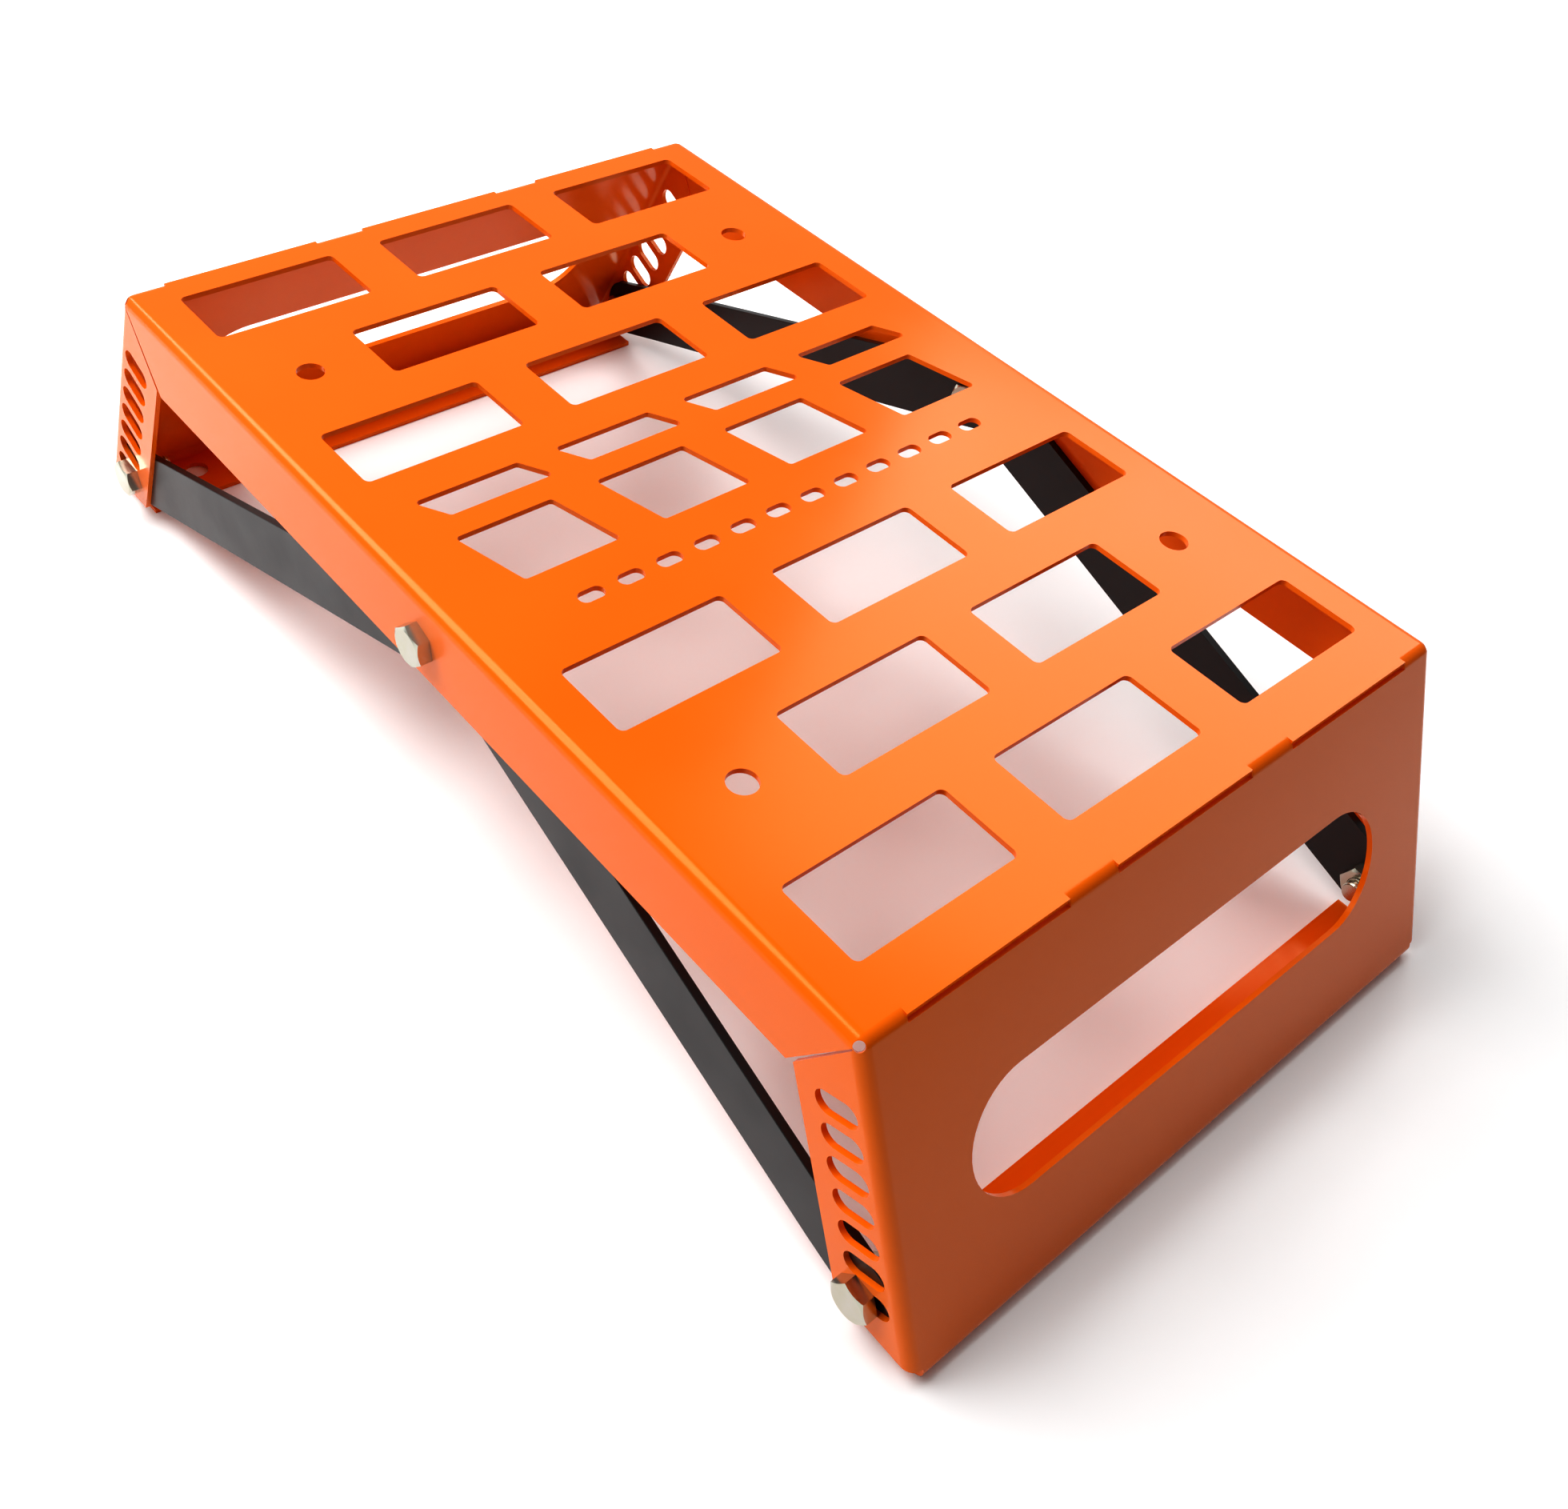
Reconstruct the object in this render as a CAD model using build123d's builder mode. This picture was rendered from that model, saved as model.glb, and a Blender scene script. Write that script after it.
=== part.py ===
from build123d import *
import os
from math import atan2, cos, degrees, hypot, radians, sin, tan

os.makedirs("parts", exist_ok=True)

# Ramp leveler: a folded sheet-metal ramp stand, held square by four flat braces.
# X runs along the ramp, +X is the front, Y runs across it, Z is up.
# The origin is on the ground, under the middle of the deck.

# ---- driving dimensions, mm and degrees ----

# the folded shell
deck_length = 503.5     # between the sharp outer corners of the two end folds
deck_width = 336.0      # over the two side flanges
height = 147.0          # deck top above the ground
flare = 24.2            # lean of each end panel, out from vertical
sheet = 2.5             # thickness of the shell's sheet
bend_in = 3.0           # inside radius of every fold
deck_flange = 40.4      # depth of the flange along each side of the deck
end_flange = 37.0       # width of the flange down each side of an end panel
flange_lift = 8.5       # side flanges stop this far above the ground
seam_top = 0.7          # mitre seam between the flanges, at the corner hole
seam_low = 2.0          # mitre seam at the free edges
seam_ahead = 0.5        # seam's offset along the ramp, out from the true mitre
corner_hole = 4.2       # relief hole where three folds meet
corner_drop = 4.5       # its depth below the deck top

# feet, folded in under the end panels
foot_depth = 41.0       # from the outer corner to the free edge
foot_inset = 6.0        # foot stops this far short of the side
foot_hole = 13.0
foot_hole_edge = 20.4   # hole centre to the foot's free edge
foot_hole_side = 40.3   # outer hole centre to the side of the ramp

# hand slot in each end panel
handle_side = 41.5      # end of the slot to the side of the ramp
handle_tall = 57.5
handle_up = 81.1        # slot centre, up the panel from its lower corner

# deck openings
window_long = 38.8      # along the ramp
window_wide = 80.2      # across the ramp
window_round = 3.0      # corner radius
row_pitch = 63.0
col_pitch = 106.6
front_margin = 23.8     # sharp corner of the front fold to the nearest row
rear_margin = 14.9      # the same at the rear fold
side_margin = 19.0      # least strip left beside the outer windows
deck_hole = 13.0
deck_hole_side = 42.6   # hole centre to the side of the ramp

# plain slanted openings and vents in the band between the two window blocks
slit_long = 15.2        # narrow row, along the ramp
slit_wide = 52.6        # and across it
slit_back = 21.0        # from the rear window block
slant_long = 36.4       # wide row, along the ramp
slant_wide = 48.4       # and across it
slant_web = 13.0        # strip between the two rows
slant_skew = 9.5        # sideways lean of each opening
slant_round = 2.0
slant_pitch = 71.5      # from one opening to the next, in both rows
vent_front = 28.2       # front window block to the row of vents
vent_long = 7.0         # along the ramp
vent_wide = 12.6        # across the ramp
vent_pitch = 20.0
vent_side = 57.5        # least distance from the side of the ramp to a vent's middle

# adjustment slots in the side flanges of the end panels
slot_gap = 0.4          # shank to each side of its slot
slot_travel = 10.0      # straight length of a slot
slot_pitch = 15.0
slot_low = 36.0         # lowest slot, up the panel from its lower corner
slot_top = 33.0         # least distance from the top corner to the highest slot

# braces
brace_width = 32.6
brace_thk = 4.0
brace_gap = 0.4         # brace end to the start of the fold beside it
brace_drop = 1.3        # brace top to the start of the deck's side fold
hole_gap = 0.5          # shank to its round holes, radially
joggle_flat = 26.0      # straight length at each bolt before the joggle starts

# hexagon bolts and nuts
bolt_dia = 10.0
bolt_flats = 17.0
head_tall = 6.4
nut_tall = 8.0
nut_gap = 0.3           # shank to nut bore, radially
thread_out = 1.5        # thread past the nut at the middle bolts
end_play = 0.2          # shank to the inner end of its slot, past the slot's own play
face_dia = 16.2         # flat left inside the chamfer of heads and nuts
chamfer_angle = 30.0
tip_chamfer = 1.0
front_turn = 5.0        # how far each pair of heads and nuts is turned, degrees
middle_turn = 20.0
rear_turn = 12.0

# ---- sizes that follow from them ----
half_long = deck_length / 2
half_wide = deck_width / 2
bend_out = bend_in + sheet
lean_s, lean_c, lean_t = sin(radians(flare)), cos(radians(flare)), tan(radians(flare))
panel = height / lean_c                            # end panel, corner to corner
fold_set = bend_out * tan(radians(90 - flare) / 2)  # corner to the start of a fold
mitre_t = tan(radians(90 - flare) / 2)             # run of the mitre per depth
over = 25.0                                        # cutters run past by this


def outer_x(z):
    """X of the end panel's outer face at height z."""
    return half_long + (height - z) * lean_t


def inner_x(z):
    """X of the end panel's inner face at height z."""
    return outer_x(z) - sheet / lean_c


def edge_x(z):
    """X of the free edge of the end panel's side flange at height z."""
    return outer_x(z) - end_flange / lean_c


def on_panel(down, inward):
    """X and Z of a point down the end panel and in from its outer face."""
    return (half_long + down * lean_s - inward * lean_c,
            height - down * lean_c - inward * lean_s)


def seam_at(depth):
    """X and Z of the mitre seam's middle at a depth below the deck top."""
    return half_long + seam_ahead - depth * mitre_t, height - depth


# window rows of the two blocks, each from its end of the deck inward
rear_rows = [-half_long + rear_margin + window_long / 2 + i * row_pitch for i in range(3)]
front_rows = [half_long - front_margin - window_long / 2 - i * row_pitch for i in range(3)]
band_rear, band_front = rear_rows[2] + window_long / 2, front_rows[2] - window_long / 2
wide_cols = int((deck_width - 2 * side_margin - window_wide) / col_pitch) + 1
hole_y = half_wide - deck_hole_side
wide_ys = [(i - (wide_cols - 1) / 2) * col_pitch for i in range(wide_cols)]

# bolts: one at mid length and one in the lowest slot at each end
bolt_in = sheet + bend_in + brace_gap + brace_width / 2
end_bolt_x, end_bolt_z = on_panel(panel - slot_low, bolt_in)
mid_bolt_z = height - sheet - bend_in - brace_drop - brace_width / 2
brace_long = hypot(end_bolt_x, mid_bolt_z - end_bolt_z)
brace_tilt = degrees(atan2(mid_bolt_z - end_bolt_z, end_bolt_x))
brace_hole = bolt_dia + 2 * hole_gap
slot_wide = bolt_dia + 2 * slot_gap
slot_long = slot_wide + slot_travel
slot_in = bolt_in + end_play + slot_wide / 2 - slot_long / 2
slot_count = int((panel - slot_low - slot_top) / slot_pitch) + 1
inner_face = half_wide - sheet                     # inside of the side flanges
slant_count = int((deck_width - 2 * foot_hole_side) / slant_pitch) + 1
vent_count = int((deck_width - 2 * vent_side) / vent_pitch) + 1
bolt_long = sheet + 2 * brace_thk + nut_tall + thread_out

# ---- shell: one sheet, cut and folded ----
with BuildPart() as hollow:
    with BuildSketch(Plane.XZ):
        with BuildLine():
            Polyline((-inner_x(height - sheet), height - sheet),
                     (inner_x(height - sheet), height - sheet),
                     (inner_x(-over), -over), (-inner_x(-over), -over), close=True)
        make_face()
    extrude(amount=inner_face, both=True)
    fillet(hollow.edges() - hollow.edges().group_by(Axis.Z)[0], bend_in)

with BuildPart() as ramp_shell:
    # hood: deck, end panels and side flanges, rounded at every fold
    with BuildSketch(Plane.XZ):
        with BuildLine():
            Polyline((-half_long, height), (half_long, height),
                     (outer_x(-over), -over), (-outer_x(-over), -over), close=True)
        make_face()
    extrude(amount=half_wide, both=True)
    fillet(ramp_shell.edges() - ramp_shell.edges().group_by(Axis.Z)[0], bend_out)
    add(hollow.part, mode=Mode.SUBTRACT)

    # lower edges of the panels and flanges
    with Locations((0, 0, flange_lift)):
        Box(4 * deck_length, 2 * deck_width, 4 * over,
            align=(Align.CENTER, Align.CENTER, Align.MAX), mode=Mode.SUBTRACT)

    # open sides, between the deck flange and the end flanges
    low_x, low_z = seam_at(deck_flange)
    meet_x, meet_z = seam_at((seam_ahead + end_flange / lean_c) / (mitre_t + lean_t))
    with BuildSketch(Plane.XZ):
        with BuildLine():
            Polyline((-low_x, low_z), (low_x, low_z), (meet_x, meet_z),
                     (edge_x(-over), -over), (-edge_x(-over), -over),
                     (-meet_x, meet_z), close=True)
        make_face()
    extrude(amount=deck_width, both=True, mode=Mode.SUBTRACT)

    # feet: folded in at the bottom of each end panel, short of the corners
    foot_top = fold_set + 4 * bend_out
    with BuildSketch(Plane.XZ):
        for end in (1, -1):
            with BuildLine():
                Polyline((end * outer_x(foot_top), foot_top), (end * (outer_x(0) + over), foot_top),
                         (end * (outer_x(0) + over), -over), (end * edge_x(-over), -over),
                         (end * inner_x(foot_top), foot_top), close=True)
            make_face()
    extrude(amount=half_wide - foot_inset, both=True, mode=Mode.SUBTRACT)
    for end in (1, -1):
        with BuildSketch(Plane.XZ) as foot:
            with BuildLine():
                Polyline((end * outer_x(foot_top), foot_top), (end * outer_x(0), 0),
                         (end * (outer_x(0) - foot_depth), 0),
                         (end * (outer_x(0) - foot_depth), sheet),
                         (end * inner_x(sheet), sheet), (end * inner_x(foot_top), foot_top),
                         close=True)
            make_face()
            fillet(foot.vertices().sort_by_distance((end * outer_x(0), 0, 0))[0], bend_out)
            fillet(foot.vertices().sort_by_distance((end * inner_x(sheet), 0, sheet))[0], bend_in)
        extrude(amount=half_wide - foot_inset, both=True)

    # slit folds: in line with each wide window the fold is cut away, and the
    # deck runs on flat to the sharp corner, over the top edge of the end panel
    fold_x = half_long - fold_set
    turn_x, turn_z = on_panel(fold_set, -over)
    for y in wide_ys:
        with BuildSketch(Plane.XZ.offset(-y)):
            for end in (1, -1):
                with BuildLine():
                    Polyline((end * fold_x, height - bend_out), (end * fold_x, height + over),
                             (end * (half_long + over), height + over),
                             (end * turn_x, turn_z), close=True)
                make_face()
        extrude(amount=window_wide / 2, both=True, mode=Mode.SUBTRACT)
        with BuildSketch(Plane.XZ.offset(-y)):
            for end in (1, -1):
                with BuildLine():
                    Polyline((end * fold_x, height), (end * half_long, height),
                             (end * half_long, height - sheet),
                             (end * fold_x, height - sheet), close=True)
                make_face()
        extrude(amount=window_wide / 2, both=True)

    # mitre seams between the deck flange and the end flanges
    seam_dir = atan2(1, mitre_t)
    nx, nz = sin(seam_dir), -cos(seam_dir)
    top_x, top_z = seam_at(corner_drop)
    end_x, end_z = seam_at(deck_flange + over)
    top_gap = seam_top / 2
    end_gap = seam_low / 2 + (seam_low - seam_top) / 2 * over / deck_flange
    for side in (1, -1):
        with BuildSketch(Plane.XZ.offset(side * (inner_face - bend_in))):
            for end in (1, -1):
                with BuildLine():
                    Polyline((end * (top_x + nx * top_gap), top_z + nz * top_gap),
                             (end * (top_x - nx * top_gap), top_z - nz * top_gap),
                             (end * (end_x - nx * end_gap), end_z - nz * end_gap),
                             (end * (end_x + nx * end_gap), end_z + nz * end_gap), close=True)
                make_face()
        extrude(amount=side * 2 * bend_out, mode=Mode.SUBTRACT)

    # relief holes where three folds meet, through the corner along its diagonal
    hole_at, hole_z = seam_at(corner_drop)
    for end in (1, -1):
        for side in (1, -1):
            with Locations(Plane(origin=(end * hole_at, side * (half_wide - bend_in), hole_z),
                                 z_dir=(end * lean_c, side, 1 + lean_s))):
                Cylinder(corner_hole / 2, 4 * bend_out, mode=Mode.SUBTRACT)

    # deck: window blocks, holes, and the band between them
    with BuildSketch(Plane.XY.offset(height)):
        for rows in (rear_rows, front_rows):
            for i, x in enumerate(rows):
                ys = wide_ys if i % 2 == 0 else [y + col_pitch / 2 for y in wide_ys[:-1]]
                with Locations(*[(x, y) for y in ys]):
                    RectangleRounded(window_long, window_wide, window_round)
        with Locations(*[(rows[1], y) for rows in (rear_rows, front_rows) for y in (hole_y, -hole_y)]):
            Circle(deck_hole / 2)
        with Locations(*[(band_front - vent_front, (i - (vent_count - 1) / 2) * vent_pitch)
                         for i in range(vent_count)]):
            SlotOverall(vent_wide, vent_long, rotation=90)
    extrude(amount=-2 * sheet, mode=Mode.SUBTRACT)
    for x0, long, wide in ((band_rear + slit_back, slit_long, slit_wide),
                           (band_rear + slit_back + slit_long + slant_web,
                            slant_long, slant_wide)):
        with BuildSketch(Plane.XY.offset(height)) as slants:
            for i in range(slant_count):
                y = (i - (slant_count - 1) / 2) * slant_pitch
                lo, hi = y - (wide + slant_skew) / 2, y + (wide + slant_skew) / 2
                with BuildLine():
                    Polyline((x0, lo), (x0, hi - slant_skew), (x0 + long, hi),
                             (x0 + long, lo + slant_skew), close=True)
                make_face()
            fillet(slants.vertices(), slant_round)
        extrude(amount=-2 * sheet, mode=Mode.SUBTRACT)

    # hand slots
    for end in (1, -1):
        x, z = on_panel(panel - handle_up, 0)
        with BuildSketch(Plane(origin=(end * x, 0, z), x_dir=(0, 1, 0),
                               z_dir=(end * lean_c, 0, lean_s))):
            SlotOverall(deck_width - 2 * handle_side, handle_tall)
        extrude(amount=-2 * sheet, mode=Mode.SUBTRACT)

    # adjustment slots and middle bolt holes in the side flanges
    with BuildSketch(Plane.XZ):
        for end in (1, -1):
            for i in range(slot_count):
                x, z = on_panel(panel - slot_low - i * slot_pitch, slot_in)
                with Locations((end * x, z)):
                    SlotOverall(slot_long, slot_wide, rotation=end * flare)
        with Locations((0, mid_bolt_z)):
            Circle(brace_hole / 2)
    extrude(amount=deck_width, both=True, mode=Mode.SUBTRACT)

    # foot holes
    with BuildSketch():
        foot_x = outer_x(0) - foot_depth + foot_hole_edge
        foot_y = half_wide - foot_hole_side
        with Locations(*[(end * foot_x, y) for end in (1, -1) for y in (-foot_y, 0, foot_y)]):
            Circle(foot_hole / 2)
    extrude(amount=2 * sheet, mode=Mode.SUBTRACT)
ramp_shell.part.label = "ramp_shell"
export_step(ramp_shell.part, "parts/ramp_shell.step")

# ---- braces: flat bars with rounded ends ----
# On each side one brace lies flat on the flange from end to end. The other lies
# inside it at the middle bolt and steps out to the flange on the way to its slot.

# flat brace, front left
with BuildPart() as front_brace_left:
    with BuildSketch(Plane.XZ.offset(-inner_face)):
        with Locations((end_bolt_x / 2, (mid_bolt_z + end_bolt_z) / 2)):
            SlotCenterToCenter(brace_long, brace_width, rotation=-brace_tilt)
        with Locations((0, mid_bolt_z), (end_bolt_x, end_bolt_z)):
            Circle(brace_hole / 2, mode=Mode.SUBTRACT)
    extrude(amount=brace_thk)
front_brace_left.part.label = "front_brace_left"
export_step(front_brace_left.part, "parts/front_brace_left.step")

# joggled brace, front right: its edge view first, then its outline
with BuildPart() as front_brace_right:
    near, far = -inner_face + brace_thk, -inner_face
    with BuildSketch(Plane(origin=(0, 0, mid_bolt_z), x_dir=(end_bolt_x, 0, end_bolt_z - mid_bolt_z),
                           z_dir=(mid_bolt_z - end_bolt_z, 0, end_bolt_x))):
        with BuildLine():
            Polyline((-brace_width, near), (joggle_flat, near), (brace_long - joggle_flat, far),
                     (brace_long + brace_width, far), (brace_long + brace_width, far + brace_thk),
                     (brace_long - joggle_flat, far + brace_thk), (joggle_flat, near + brace_thk),
                     (-brace_width, near + brace_thk), close=True)
        make_face()
    extrude(amount=brace_width, both=True)
    with BuildSketch(Plane.XZ.offset(inner_face + sheet)):
        with Locations((end_bolt_x / 2, (mid_bolt_z + end_bolt_z) / 2)):
            SlotCenterToCenter(brace_long, brace_width, rotation=-brace_tilt)
        with Locations((0, mid_bolt_z), (end_bolt_x, end_bolt_z)):
            Circle(brace_hole / 2, mode=Mode.SUBTRACT)
    extrude(amount=-deck_width, mode=Mode.INTERSECT)
front_brace_right.part.label = "front_brace_right"
export_step(front_brace_right.part, "parts/front_brace_right.step")

# the rear pair are the same two bars, turned half round
with BuildPart() as rear_brace_right:
    add(front_brace_left.part, rotation=(0, 0, 180))
rear_brace_right.part.label = "rear_brace_right"
export_step(rear_brace_right.part, "parts/rear_brace_right.step")

with BuildPart() as rear_brace_left:
    add(front_brace_right.part, rotation=(0, 0, 180))
rear_brace_left.part.label = "rear_brace_left"
export_step(rear_brace_left.part, "parts/rear_brace_left.step")

# ---- bolts and nuts ----
# Patterns stand on the XY plane. Each is laid over onto the side it serves.
hex_corner = bolt_flats / 2 / cos(radians(30))
chamfer_run = hex_corner + 1 - face_dia / 2
chamfer_fall = chamfer_run * tan(radians(chamfer_angle))

# bolt pattern: head below the plane, shank above it
with BuildPart() as bolt:
    with BuildSketch():
        RegularPolygon(bolt_flats / 2, 6, major_radius=False)
    extrude(amount=-head_tall)
    with BuildSketch(Plane.XZ):
        with BuildLine():
            Polyline((face_dia / 2, -head_tall), (face_dia / 2 + chamfer_run, -head_tall),
                     (face_dia / 2 + chamfer_run, -head_tall + chamfer_fall), close=True)
        make_face()
    revolve(axis=Axis.Z, mode=Mode.SUBTRACT)
    Cylinder(bolt_dia / 2, bolt_long, align=(Align.CENTER, Align.CENTER, Align.MIN))
    chamfer(bolt.edges().group_by(Axis.Z)[-1], tip_chamfer)

# nut pattern, chamfered on both faces
with BuildPart() as nut:
    with BuildSketch():
        RegularPolygon(bolt_flats / 2, 6, major_radius=False)
        Circle(bolt_dia / 2 + nut_gap, mode=Mode.SUBTRACT)
    extrude(amount=nut_tall)
    with BuildSketch(Plane.XZ):
        for z, rise in ((0, chamfer_fall), (nut_tall, -chamfer_fall)):
            with BuildLine():
                Polyline((face_dia / 2, z), (face_dia / 2 + chamfer_run, z),
                         (face_dia / 2 + chamfer_run, z + rise), close=True)
            make_face()
    revolve(axis=Axis.Z, mode=Mode.SUBTRACT)

with BuildPart() as front_bolt_left:
    with Locations(Location((end_bolt_x, half_wide, end_bolt_z), (90, 0, 0))):
        add(bolt.part, rotation=(0, 0, front_turn))
front_bolt_left.part.label = "front_bolt_left"
export_step(front_bolt_left.part, "parts/front_bolt_left.step")

with BuildPart() as front_bolt_right:
    with Locations(Location((end_bolt_x, -half_wide, end_bolt_z), (-90, 0, 0))):
        add(bolt.part, rotation=(0, 0, front_turn))
front_bolt_right.part.label = "front_bolt_right"
export_step(front_bolt_right.part, "parts/front_bolt_right.step")

with BuildPart() as middle_bolt_left:
    with Locations(Location((0, half_wide, mid_bolt_z), (90, 0, 0))):
        add(bolt.part, rotation=(0, 0, middle_turn))
middle_bolt_left.part.label = "middle_bolt_left"
export_step(middle_bolt_left.part, "parts/middle_bolt_left.step")

with BuildPart() as middle_bolt_right:
    with Locations(Location((0, -half_wide, mid_bolt_z), (-90, 0, 0))):
        add(bolt.part, rotation=(0, 0, middle_turn))
middle_bolt_right.part.label = "middle_bolt_right"
export_step(middle_bolt_right.part, "parts/middle_bolt_right.step")

with BuildPart() as rear_bolt_left:
    with Locations(Location((-end_bolt_x, half_wide, end_bolt_z), (90, 0, 0))):
        add(bolt.part, rotation=(0, 0, rear_turn))
rear_bolt_left.part.label = "rear_bolt_left"
export_step(rear_bolt_left.part, "parts/rear_bolt_left.step")

with BuildPart() as rear_bolt_right:
    with Locations(Location((-end_bolt_x, -half_wide, end_bolt_z), (-90, 0, 0))):
        add(bolt.part, rotation=(0, 0, rear_turn))
rear_bolt_right.part.label = "rear_bolt_right"
export_step(rear_bolt_right.part, "parts/rear_bolt_right.step")

with BuildPart() as front_nut_left:
    with Locations(Location((end_bolt_x, inner_face - brace_thk, end_bolt_z), (90, 0, 0))):
        add(nut.part, rotation=(0, 0, front_turn))
front_nut_left.part.label = "front_nut_left"
export_step(front_nut_left.part, "parts/front_nut_left.step")

with BuildPart() as front_nut_right:
    with Locations(Location((end_bolt_x, -inner_face + brace_thk, end_bolt_z), (-90, 0, 0))):
        add(nut.part, rotation=(0, 0, front_turn))
front_nut_right.part.label = "front_nut_right"
export_step(front_nut_right.part, "parts/front_nut_right.step")

with BuildPart() as middle_nut_left:
    with Locations(Location((0, inner_face - 2 * brace_thk, mid_bolt_z), (90, 0, 0))):
        add(nut.part, rotation=(0, 0, middle_turn))
middle_nut_left.part.label = "middle_nut_left"
export_step(middle_nut_left.part, "parts/middle_nut_left.step")

with BuildPart() as middle_nut_right:
    with Locations(Location((0, -inner_face + 2 * brace_thk, mid_bolt_z), (-90, 0, 0))):
        add(nut.part, rotation=(0, 0, middle_turn))
middle_nut_right.part.label = "middle_nut_right"
export_step(middle_nut_right.part, "parts/middle_nut_right.step")

with BuildPart() as rear_nut_left:
    with Locations(Location((-end_bolt_x, inner_face - brace_thk, end_bolt_z), (90, 0, 0))):
        add(nut.part, rotation=(0, 0, rear_turn))
rear_nut_left.part.label = "rear_nut_left"
export_step(rear_nut_left.part, "parts/rear_nut_left.step")

with BuildPart() as rear_nut_right:
    with Locations(Location((-end_bolt_x, -inner_face + brace_thk, end_bolt_z), (-90, 0, 0))):
        add(nut.part, rotation=(0, 0, rear_turn))
rear_nut_right.part.label = "rear_nut_right"
export_step(rear_nut_right.part, "parts/rear_nut_right.step")
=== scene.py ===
import bpy, bmesh
from math import cos, pi, radians, tan
from mathutils import Matrix, Vector


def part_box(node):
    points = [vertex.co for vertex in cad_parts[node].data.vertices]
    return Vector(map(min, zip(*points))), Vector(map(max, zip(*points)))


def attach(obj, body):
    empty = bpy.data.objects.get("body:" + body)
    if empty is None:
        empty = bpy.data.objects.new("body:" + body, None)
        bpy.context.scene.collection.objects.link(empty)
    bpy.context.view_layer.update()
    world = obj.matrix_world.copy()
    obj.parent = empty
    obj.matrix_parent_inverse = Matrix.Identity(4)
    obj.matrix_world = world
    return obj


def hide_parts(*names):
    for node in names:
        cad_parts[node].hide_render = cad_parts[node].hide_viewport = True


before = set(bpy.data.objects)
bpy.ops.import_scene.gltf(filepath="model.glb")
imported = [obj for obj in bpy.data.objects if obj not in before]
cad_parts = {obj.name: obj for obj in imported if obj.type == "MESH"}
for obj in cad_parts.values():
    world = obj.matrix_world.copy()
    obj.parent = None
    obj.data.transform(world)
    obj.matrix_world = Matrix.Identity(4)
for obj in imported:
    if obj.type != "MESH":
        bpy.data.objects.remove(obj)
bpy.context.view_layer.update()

MM = 0.001

# ---------------------------------------------------------------- folded shell
# One sheet of 2.5 mm steel, laser cut, folded and then powder coated orange.
# The coat rounds every cut edge slightly and lies a little uneven, as powder
# does when it flows out in the oven.


def srgb(text):
    """Linear colour, with alpha, from a hex colour."""
    out = []
    for i in (0, 2, 4):
        v = int(text[i:i + 2], 16) / 255
        out.append(v / 12.92 if v <= 0.04045 else ((v + 0.055) / 1.055) ** 2.4)
    return (*out, 1.0)


def add_node(tree, kind, links=None, **settings):
    """Add a node. Settings name its properties or its sockets, links its inputs."""
    made = tree.nodes.new(kind)
    for key, value in settings.items():
        if hasattr(made, key):
            setattr(made, key, value)
        else:
            made.inputs[key.replace("_", " ")].default_value = value
    for key, source in (links or {}).items():
        tree.links.new(source, made.inputs[key])
    return made


def new_material(name):
    """A fresh node material. Gives its tree, its shader and its object coordinates."""
    made = bpy.data.materials.new(name)
    made.use_nodes = True
    tree = made.node_tree
    tree.nodes.clear()
    shader = add_node(tree, "ShaderNodeBsdfPrincipled")
    out = add_node(tree, "ShaderNodeOutputMaterial")
    tree.links.new(shader.outputs["BSDF"], out.inputs["Surface"])
    coords = add_node(tree, "ShaderNodeTexCoord").outputs["Object"]
    return made, tree, shader, coords


def noise(tree, coords, cell, **more):
    """The value of a noise whose cells have a real size."""
    return add_node(tree, "ShaderNodeTexNoise", {"Vector": coords}, Scale=1 / cell,
                    **more).outputs["Fac"]


def vary_colour(tree, shader, value, low, high):
    """Let the base colour drift between two hex colours."""
    tint = add_node(tree, "ShaderNodeMix", {"Factor": value}, data_type="RGBA")
    tint.inputs["A"].default_value = srgb(low)
    tint.inputs["B"].default_value = srgb(high)
    tree.links.new(tint.outputs["Result"], shader.inputs["Base Color"])


def vary_roughness(tree, shader, value, low, high):
    """Let the roughness drift between two values, over the middle of a noise."""
    spread = add_node(tree, "ShaderNodeMapRange", {"Value": value}, From_Min=0.3, From_Max=0.7,
                      To_Min=low, To_Max=high)
    tree.links.new(spread.outputs["Result"], shader.inputs["Roughness"])


def coat_texture(tree, shader, value, strength):
    """Relief of a powder coat, a few microns deep."""
    bump = add_node(tree, "ShaderNodeBump", {"Height": value}, Strength=strength,
                    Distance=0.02 * MM)
    tree.links.new(bump.outputs["Normal"], shader.inputs["Normal"])


# Powder coat on steel: polyester, gloss, with a faint orange peel. Peel cells
# are about 1.6 mm across.
orange_coat, tree, shader, coords = new_material("gloss_orange_powder_coat")
peel = noise(tree, coords, 1.6 * MM, Detail=2.0, Roughness=0.45)
cloud = noise(tree, coords, 90 * MM, Detail=3.0, Roughness=0.5)
vary_colour(tree, shader, cloud, "E46406", "EA6C0A")
vary_roughness(tree, shader, cloud, 0.15, 0.21)
coat_texture(tree, shader, peel, 0.12)
shader.inputs["IOR"].default_value = 1.5
shader.inputs["Specular Tint"].default_value = srgb("FFC284")


def put(name, data):
    """An object of some data, in the scene."""
    made = bpy.data.objects.new(name, data)
    bpy.context.scene.collection.objects.link(made)
    return made


def made_plain(rough, rename):
    """What a rough object's modifiers make of it, as a plain object. The rough one goes."""
    done = bpy.data.meshes.new_from_object(
        rough.evaluated_get(bpy.context.evaluated_depsgraph_get()))
    rough.modifiers.clear()
    bpy.data.objects.remove(rough)
    done.name = rename
    return put(rename, done)


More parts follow.
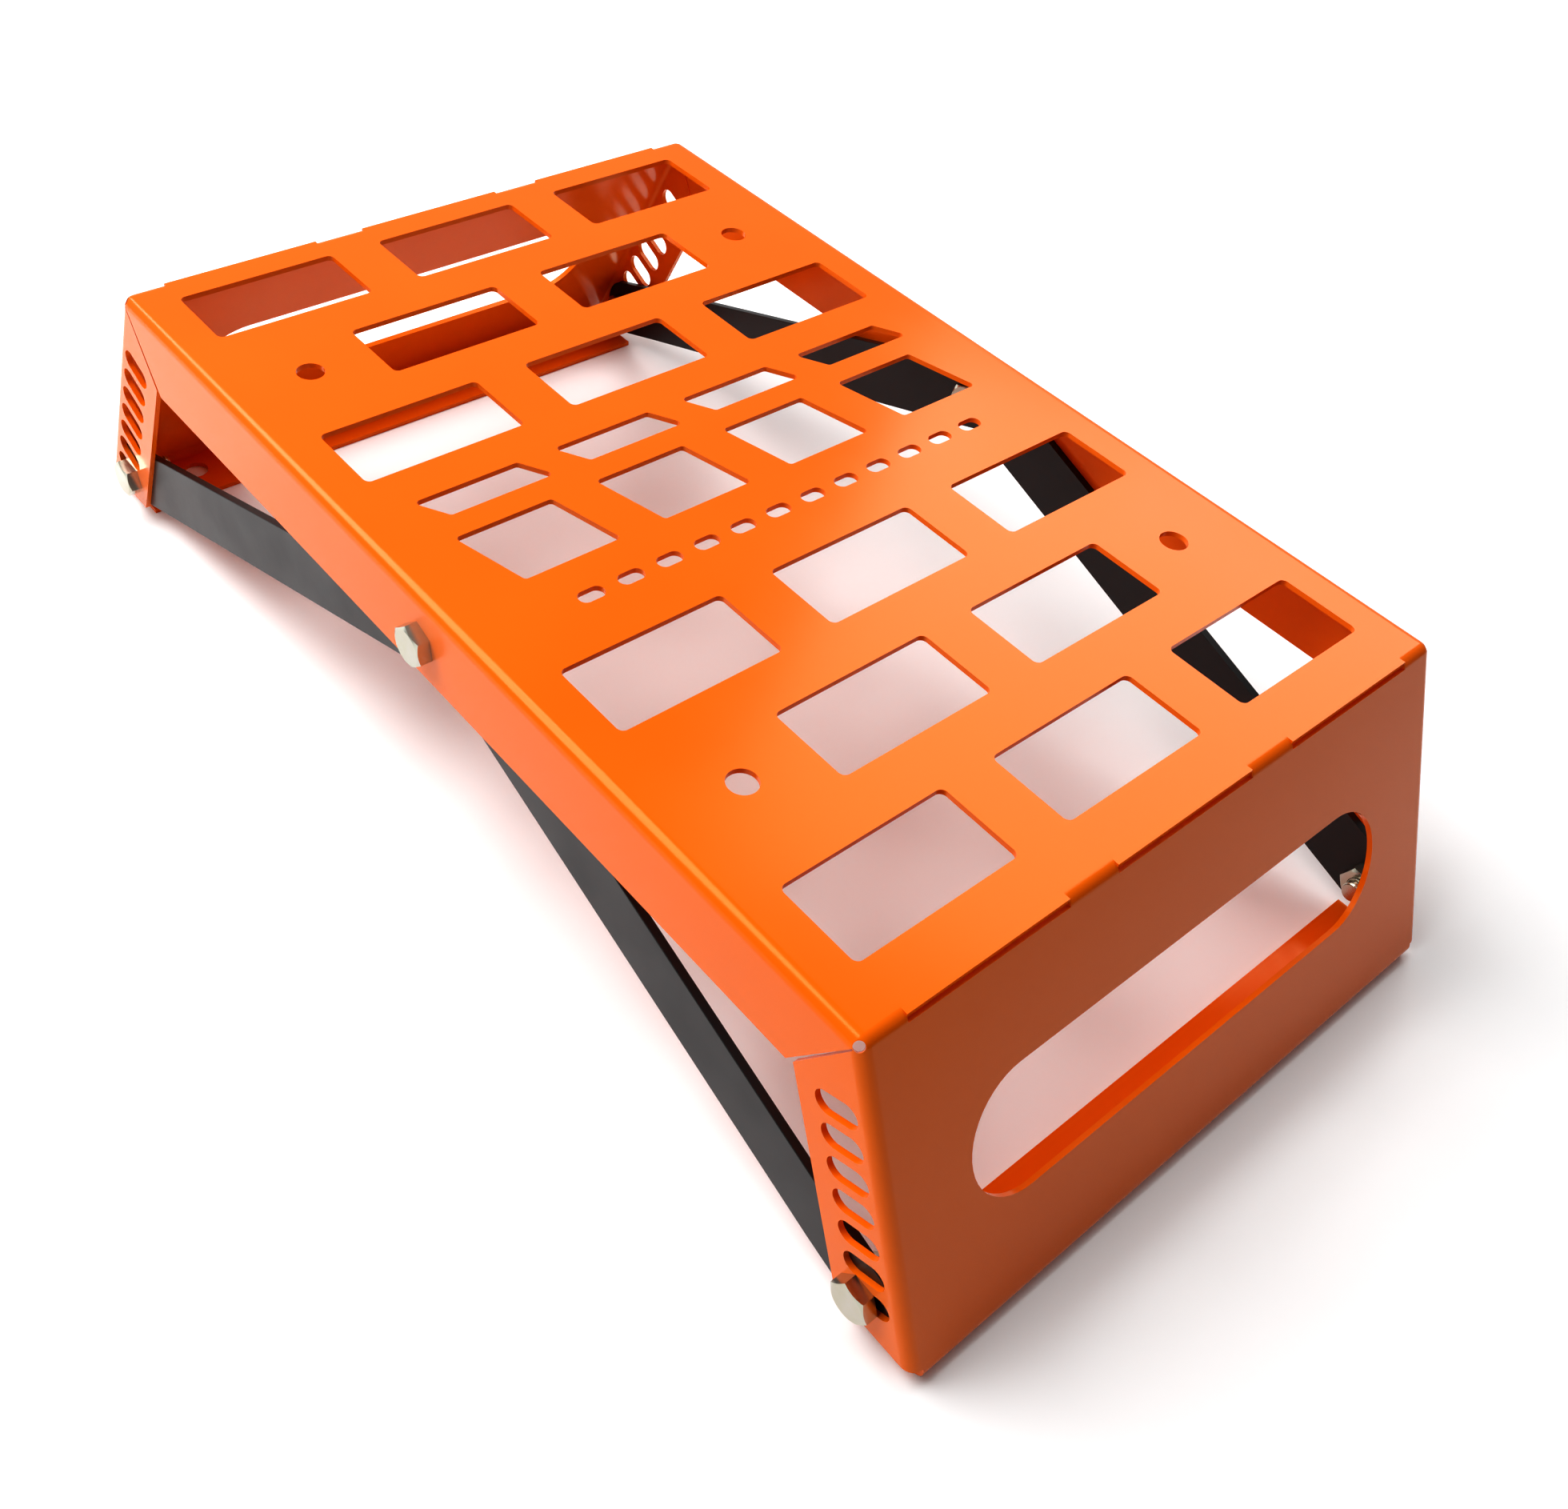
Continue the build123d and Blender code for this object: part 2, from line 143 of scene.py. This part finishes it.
def finished_copy(name, rename, edge, steps, finish):
    """A welded copy of a CAD node with its cut edges rounded, standing for that node."""
    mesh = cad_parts[name].data.copy()
    form = bmesh.new()
    form.from_mesh(mesh)
    bmesh.ops.remove_doubles(form, verts=form.verts, dist=0.001 * MM)
    bmesh.ops.dissolve_degenerate(form, edges=form.edges, dist=0.002 * MM)
    bmesh.ops.dissolve_limit(form, angle_limit=radians(0.3), verts=form.verts, edges=form.edges,
                             delimit=set())
    form.to_mesh(mesh)
    form.free()
    mesh.polygons.foreach_set("use_smooth", [True] * len(mesh.polygons))
    mesh.materials.clear()
    mesh.materials.append(finish)
    rough = put(rename + "_rough", mesh)
    soften = rough.modifiers.new("rounded_edges", "BEVEL")
    soften.width = edge
    soften.segments = steps
    soften.limit_method = "ANGLE"
    soften.angle_limit = radians(35)
    soften.use_clamp_overlap = True
    soften.miter_outer = "MITER_ARC"
    even = rough.modifiers.new("even_shading", "WEIGHTED_NORMAL")
    even.weight = 100
    piece = made_plain(rough, rename)
    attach(piece, "root")
    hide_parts(name)
    return piece


shell = finished_copy("ramp_shell", "folded_shell", 0.35 * MM, 2, orange_coat)

# ---------------------------------------------------------------------- braces
# Four flat bars of 4 mm steel, rounded at both ends and punched for the bolts.
# Two are joggled to lie over their neighbours. Satin black powder coat.
black_coat, tree, shader, coords = new_material("satin_black_powder_coat")
fine = noise(tree, coords, 0.9 * MM, Detail=2.0)
patchy = noise(tree, coords, 35 * MM, Detail=3.0)
vary_colour(tree, shader, patchy, "131415", "1B1C1D")
vary_roughness(tree, shader, patchy, 0.34, 0.44)
coat_texture(tree, shader, fine, 0.15)
shader.inputs["IOR"].default_value = 1.5

for end in ("front", "rear"):
    for side in ("left", "right"):
        bar = finished_copy(f"{end}_brace_{side}", f"{end}_{side}_brace_bar", 0.5 * MM, 3,
                            black_coat)

# -------------------------------------------------------------- bolts and nuts
# Six M10 hexagon bolts with their nuts, steel, cold formed and then bright zinc
# plated. Heads sit outside on the flanges, nuts inside on the braces.
FLATS = 17.0 * MM
FACE = 16.2 * MM          # flat end of a hexagon, inside its chamfer
CHAMFER = radians(30)
HEAD_TALL = 6.4 * MM
NUT_TALL = 8.0 * MM
ROUND = 48                # sides of a turned surface

# Bright zinc over steel, clear passivated: silver, with a slight straw tint
# that drifts over a few millimetres.
zinc, tree, shader, coords = new_material("bright_zinc_plate")
drift = noise(tree, coords, 7 * MM, Detail=2.0)
grain = noise(tree, coords, 0.5 * MM, Detail=2.0)
vary_colour(tree, shader, drift, "C8C8C4", "B8B89E")
vary_roughness(tree, shader, grain, 0.16, 0.26)
shader.inputs["Metallic"].default_value = 1.0


def fastener_tree(name, sizes):
    """A tree for one kind of fastener, with its sizes as named inputs."""
    tree = bpy.data.node_groups.new(name, "GeometryNodeTree")
    sockets = tree.interface
    sockets.new_socket("Geometry", in_out="OUTPUT", socket_type="NodeSocketGeometry")
    sockets.new_socket("Points", in_out="INPUT", socket_type="NodeSocketGeometry")
    for size, value in sizes.items():
        made = sockets.new_socket(size, in_out="INPUT", socket_type="NodeSocketFloat")
        made.default_value = value
    sockets.new_socket("Finish", in_out="INPUT", socket_type="NodeSocketMaterial")
    return tree, add_node(tree, "NodeGroupInput").outputs


def share(tree, value, parts):
    """A socket's value divided by a number."""
    made = add_node(tree, "ShaderNodeMath", {0: value}, operation="DIVIDE")
    made.inputs[1].default_value = parts
    return made.outputs[0]


def sum_of(tree, one, other, operation="ADD"):
    """Two sockets' values added, or joined by another operation."""
    return add_node(tree, "ShaderNodeMath", {0: one, 1: other}, operation=operation).outputs[0]


def raised(tree, shape, height):
    """A shape moved up Z by a socket's value."""
    up = add_node(tree, "ShaderNodeCombineXYZ", {"Z": height})
    return add_node(tree, "GeometryNodeTransform", {"Geometry": shape,
                                                    "Translation": up.outputs[0]}).outputs[0]


def turned_over(tree, shape):
    """A shape with its top end down."""
    return add_node(tree, "GeometryNodeTransform", {"Geometry": shape},
                    Rotation=(pi, 0, 0)).outputs[0]


def overlap_of(tree, one, other):
    """What two closed shapes have in common."""
    made = add_node(tree, "GeometryNodeMeshBoolean", operation="INTERSECT", solver="EXACT")
    for shape in (one, other):
        tree.links.new(shape, made.inputs["Mesh 2"])
    return made.outputs["Mesh"]


def standing_rod(tree, radius, length):
    """A round rod on Z from 0 up."""
    rod = add_node(tree, "GeometryNodeMeshCylinder", {"Radius": radius, "Depth": length},
                   Vertices=ROUND)
    return raised(tree, rod.outputs["Mesh"], share(tree, length, 2))


def hexagon(tree, given, tall, both_ends):
    """A hexagon prism about the origin, chamfered by a cone at its top or at both ends."""
    corner = share(tree, given["Across flats"], 2 * cos(radians(30)))
    prism = add_node(tree, "GeometryNodeMeshCylinder", {"Radius": corner, "Depth": tall},
                     Vertices=6)
    face = share(tree, given["Face"], 2)
    foot = sum_of(tree, face, share(tree, tall, tan(CHAMFER)))
    cone = add_node(tree, "GeometryNodeMeshCone", {"Radius Top": face, "Radius Bottom": foot,
                                                   "Depth": tall}, Vertices=2 * ROUND)
    trim = raised(tree, cone.outputs["Mesh"], share(tree, tall, -2))
    mesh = overlap_of(tree, prism.outputs["Mesh"], trim)
    return overlap_of(tree, mesh, turned_over(tree, trim)) if both_ends else mesh


def thread_ridge(tree, given):
    """A thread: a small square section swept up a helix, with its crest at the shank's radius."""
    length, root = given["Thread length"], given["Root radius"]
    helix = add_node(tree, "GeometryNodeCurveSpiral",
                     {"Rotations": sum_of(tree, length, given["Pitch"], "DIVIDE"),
                      "Start Radius": root, "End Radius": root, "Height": length},
                     Resolution=28)
    crest = sum_of(tree, given["Shank radius"], root, "SUBTRACT")
    section = add_node(tree, "GeometryNodeCurvePrimitiveCircle", {"Radius": crest}, Resolution=4)
    swept = add_node(tree, "GeometryNodeCurveToMesh", {"Curve": helix.outputs["Curve"],
                                                       "Profile Curve": section.outputs["Curve"]})
    swept.inputs["Fill Caps"].default_value = True
    return raised(tree, swept.outputs["Mesh"], given["Thread start"])


def stand_on_points(tree, given, shape):
    """Copies of a shape on the given points, turned by each point's turn attribute, made real."""
    turn = add_node(tree, "GeometryNodeInputNamedAttribute", data_type="FLOAT_VECTOR", Name="turn")
    copies = add_node(tree, "GeometryNodeInstanceOnPoints",
                      {"Points": given["Points"], "Instance": shape,
                       "Rotation": turn.outputs["Attribute"]})
    real = add_node(tree, "GeometryNodeRealizeInstances", {"Geometry": copies.outputs["Instances"]})
    finish = add_node(tree, "GeometryNodeSetMaterial", {"Geometry": real.outputs["Geometry"],
                                                        "Material": given["Finish"]})
    out = add_node(tree, "NodeGroupOutput")
    tree.links.new(finish.outputs["Geometry"], out.inputs["Geometry"])


# Bolt: head from 0 down, chamfered on its outer end, and from 0 up a plain
# shank, then a root rod that carries the thread.
bolts, given = fastener_tree("hex_bolts_on_points", {
    "Across flats": FLATS, "Head height": HEAD_TALL, "Face": FACE, "Shank radius": 5.0 * MM,
    "Length": 20 * MM, "Pitch": 1.5 * MM, "Root radius": 4.45 * MM, "Thread start": 6.0 * MM,
    "Thread length": 13.2 * MM})
head = turned_over(bolts, hexagon(bolts, given, given["Head height"], False))
whole = add_node(bolts, "GeometryNodeJoinGeometry")
for part in (raised(bolts, head, share(bolts, given["Head height"], -2)),
             standing_rod(bolts, given["Root radius"], given["Length"]),
             standing_rod(bolts, given["Shank radius"], given["Thread start"]),
             thread_ridge(bolts, given)):
    bolts.links.new(part, whole.inputs["Geometry"])
stand_on_points(bolts, given, whole.outputs["Geometry"])

# Nut: from 0 up, chamfered on both faces, with a plain bore.
nuts, given = fastener_tree("hex_nuts_on_points", {
    "Across flats": FLATS, "Height": NUT_TALL, "Face": FACE, "Bore radius": 5.3 * MM})
drill = add_node(nuts, "GeometryNodeMeshCylinder", {"Radius": given["Bore radius"]},
                 Vertices=ROUND, Depth=30 * MM)
bored = add_node(nuts, "GeometryNodeMeshBoolean", operation="DIFFERENCE", solver="EXACT")
nuts.links.new(hexagon(nuts, given, given["Height"], True), bored.inputs["Mesh 1"])
nuts.links.new(drill.outputs["Mesh"], bored.inputs["Mesh 2"])
stand_on_points(nuts, given, raised(nuts, bored.outputs["Mesh"], share(nuts, given["Height"], 2)))

TURNS = {"front": 5.0, "middle": 20.0, "rear": 12.0}    # degrees about each bolt


def fastener_row(tree, kind, rename, drop):
    """Run a tree on a point for each fastener of a kind, drop inside its outer end."""
    names, spots, turns = [], [], []
    for row, angle in TURNS.items():
        for side, sign in (("left", 1), ("right", -1)):
            name = f"{row}_{kind}_{side}"
            low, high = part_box(name)
            mid = (low + high) / 2
            outer = high.y if side == "left" else low.y
            names.append(name)
            spots.append((mid.x, outer - sign * drop, mid.z))
            lay = Matrix.Rotation(sign * pi / 2, 3, "X") @ Matrix.Rotation(radians(angle), 3, "Z")
            turns.append(lay.to_euler("XYZ"))
    base = bpy.data.meshes.new(rename + "_points")
    base.from_pydata(spots, [], [])
    mark = base.attributes.new("turn", "FLOAT_VECTOR", "POINT")
    mark.data.foreach_set("vector", [v for t in turns for v in t])
    holder = put(rename + "_points", base)
    grow = holder.modifiers.new("fasteners", "NODES")
    grow.node_group = tree
    for item in tree.interface.items_tree:
        if item.name == "Finish":
            grow[item.identifier] = zinc
    piece = made_plain(holder, rename)
    piece.data.polygons.foreach_set("use_smooth", [True] * len(piece.data.polygons))
    piece.data.set_sharp_from_angle(angle=radians(25))
    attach(piece, "root")
    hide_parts(*names)


fastener_row(bolts, "bolt", "zinc_hex_bolts", HEAD_TALL)
fastener_row(nuts, "nut", "zinc_hex_nuts", 0.0)

# --------------------------------------------------------------- floor and light
# A white floor in a bright studio: one large box over the rear right, a small
# weak one behind, and a room that is dim in front of the front end.
FLOOR_HALF = 6.0
paper, tree, shader, coords = new_material("white_paper_sweep")
shader.inputs["Base Color"].default_value = srgb("F8F8F8")
shader.inputs["Roughness"].default_value = 0.9
ground = bpy.data.meshes.new("floor")
ground.from_pydata([(x * FLOOR_HALF, y * FLOOR_HALF, 0)
                    for x, y in ((-1, -1), (1, -1), (1, 1), (-1, 1))], [], [(0, 1, 2, 3)])
ground.materials.append(paper)
put("floor", ground)


def soft_box(name, at, aim, width, height, power):
    """A white area light at a point, facing another."""
    lamp = bpy.data.lights.new(name, "AREA")
    lamp.shape = "RECTANGLE"
    lamp.size, lamp.size_y, lamp.energy = width, height, power
    made = put(name, lamp)
    made.location = at
    made.rotation_euler = (Vector(aim) - Vector(at)).to_track_quat("-Z", "Y").to_euler()


soft_box("overhead_box", at=(-1.2, -0.9, 1.9), aim=(0, 0, 0.1), width=1.7, height=1.7, power=56)
soft_box("far_box", at=(-0.35, 1.3, 1.4), aim=(0.15, 0, 0.1), width=1.1, height=0.9, power=9)

# The room's strength falls from the rear side to the front side.
world = bpy.data.worlds.new("studio_room")
bpy.context.scene.world = world
world.use_nodes = True
room = world.node_tree
sky = room.nodes["Background"]
facing = add_node(room, "ShaderNodeSeparateXYZ",
                  {"Vector": add_node(room, "ShaderNodeTexCoord").outputs["Generated"]})
fall = add_node(room, "ShaderNodeMapRange", {"Value": facing.outputs["X"]}, From_Min=-0.8,
                From_Max=0.9, To_Min=0.44, To_Max=0.05)
room.links.new(fall.outputs["Result"], sky.inputs["Strength"])
sky.inputs["Color"].default_value = srgb("FFFFFF")
bpy.context.scene.view_settings.view_transform = "Standard"
bpy.context.scene.view_settings.look = "High Contrast"

# ---------------------------------------------------------------------- camera
# A normal lens, above the front right corner, looking down along the deck and
# tilted so that its right side is up.
lens = bpy.data.cameras.new("camera")
lens.sensor_width = 36.0
lens.lens = 35.93
lens.shift_x = 0.04
lens.clip_start = 0.01
stand = (0.39990, -0.40811, 0.55892)
heading, pitch, roll = radians(133.347), radians(-46.431), radians(9.045)
camera = put("camera", lens)
camera.matrix_world = (Matrix.Translation(stand)
                       @ Matrix.Rotation(heading - pi / 2, 4, "Z")
                       @ Matrix.Rotation(pitch + pi / 2, 4, "X")
                       @ Matrix.Rotation(roll, 4, "Z"))
bpy.context.scene.camera = camera
